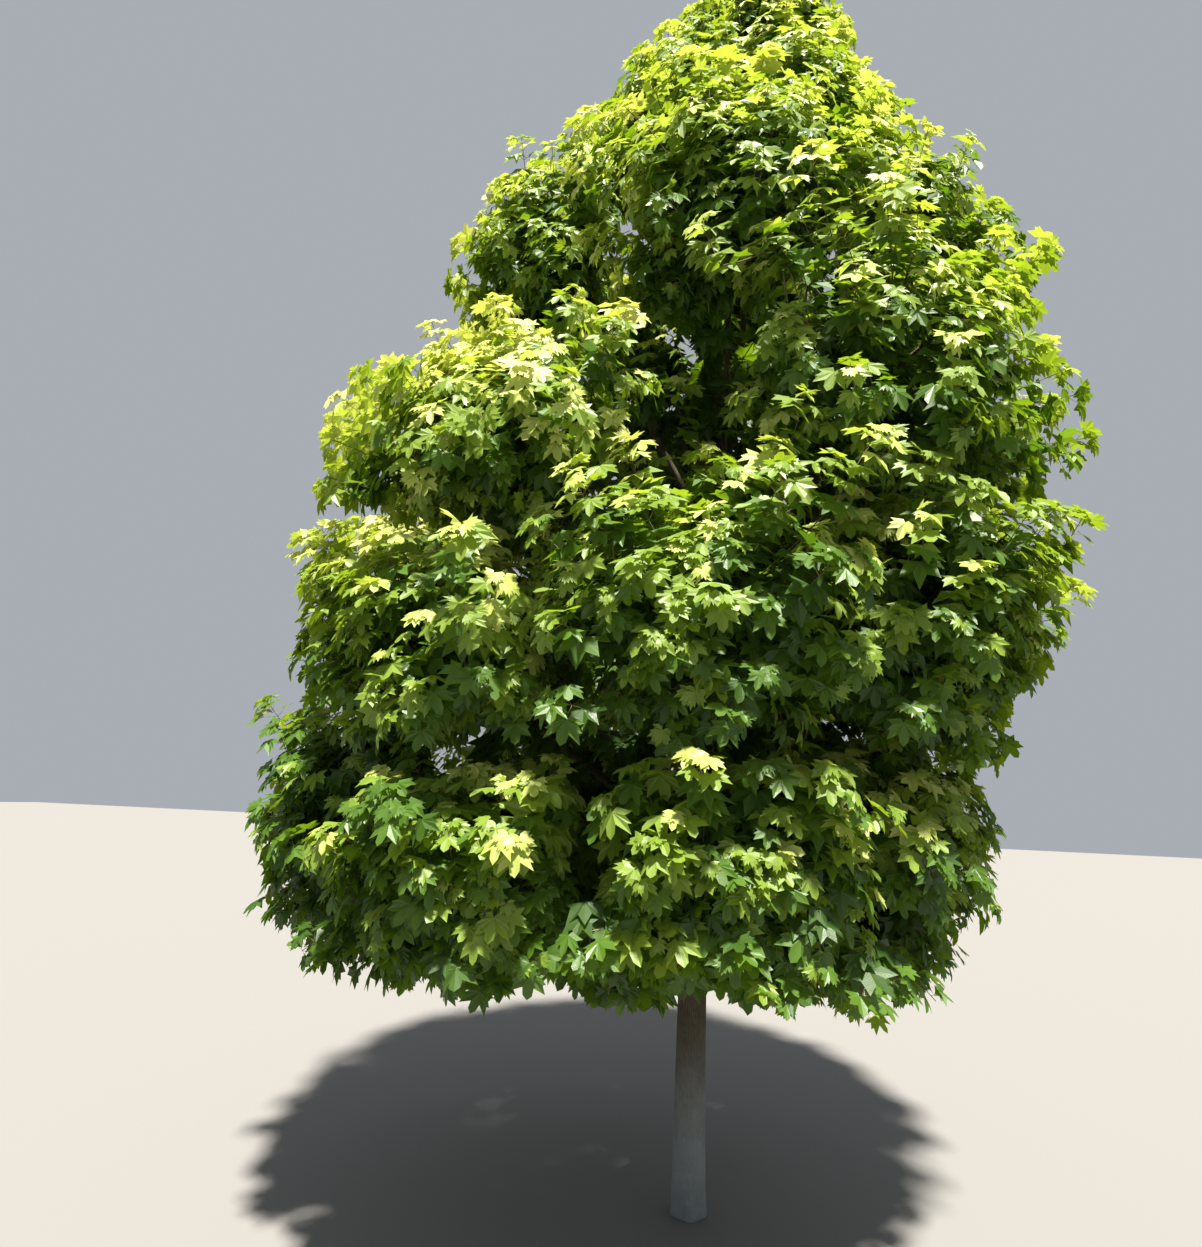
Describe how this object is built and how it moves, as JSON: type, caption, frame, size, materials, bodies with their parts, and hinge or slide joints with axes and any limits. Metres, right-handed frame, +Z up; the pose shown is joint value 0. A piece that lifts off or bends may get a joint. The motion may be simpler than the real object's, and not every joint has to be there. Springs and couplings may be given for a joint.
{
  "type": "young maple tree",
  "caption": "Young broadleaf tree in full summer leaf: a slim straight trunk carries ascending boughs and a dense, egg-shaped crown of lobed leaves.",
  "frame": {"origin": "middle of the flat cut under the trunk, at ground level", "axes": "+Z up along the trunk, +X towards the side the leader leans to, -Y towards the viewer of the picture"},
  "size_m": [5.2963, 5.0019, 9.2829],
  "materials": {
    "bark": "matte, finely furrowed bark",
    "leaf": "satin leaf surface"
  },
  "bodies": {
    "root": {"trunk": "bark", "bough_high_1": "bark", "bough_high_2": "bark", "bough_high_3": "bark", "bough_lower_1": "bark", "bough_lower_2": "bark", "bough_lower_3": "bark", "bough_lower_4": "bark", "bough_lower_5": "bark", "bough_lower_6": "bark", "bough_lower_7": "bark", "bough_middle_1": "bark", "bough_middle_2": "bark", "bough_middle_3": "bark", "bough_middle_4": "bark", "bough_middle_5": "bark", "bough_skirt_1": "bark", "bough_skirt_2": "bark", "bough_skirt_3": "bark", "bough_skirt_4": "bark", "bough_skirt_5": "bark", "bough_skirt_6": "bark", "bough_upper_1": "bark", "bough_upper_2": "bark", "bough_upper_3": "bark", "bough_upper_4": "bark", "bough_upper_5": "bark", "foliage_high_1": "leaf", "foliage_high_2": "leaf", "foliage_high_3": "leaf", "foliage_lower_1": "leaf", "foliage_lower_2": "leaf", "foliage_lower_3": "leaf", "foliage_lower_4": "leaf", "foliage_lower_5": "leaf", "foliage_lower_6": "leaf", "foliage_lower_7": "leaf", "foliage_middle_1": "leaf", "foliage_middle_2": "leaf", "foliage_middle_3": "leaf", "foliage_middle_4": "leaf", "foliage_middle_5": "leaf", "foliage_skirt_1": "leaf", "foliage_skirt_2": "leaf", "foliage_skirt_3": "leaf", "foliage_skirt_4": "leaf", "foliage_skirt_5": "leaf", "foliage_skirt_6": "leaf", "foliage_tip": "leaf", "foliage_upper_1": "leaf", "foliage_upper_2": "leaf", "foliage_upper_3": "leaf", "foliage_upper_4": "leaf", "foliage_upper_5": "leaf"}
  },
  "joints": []
}
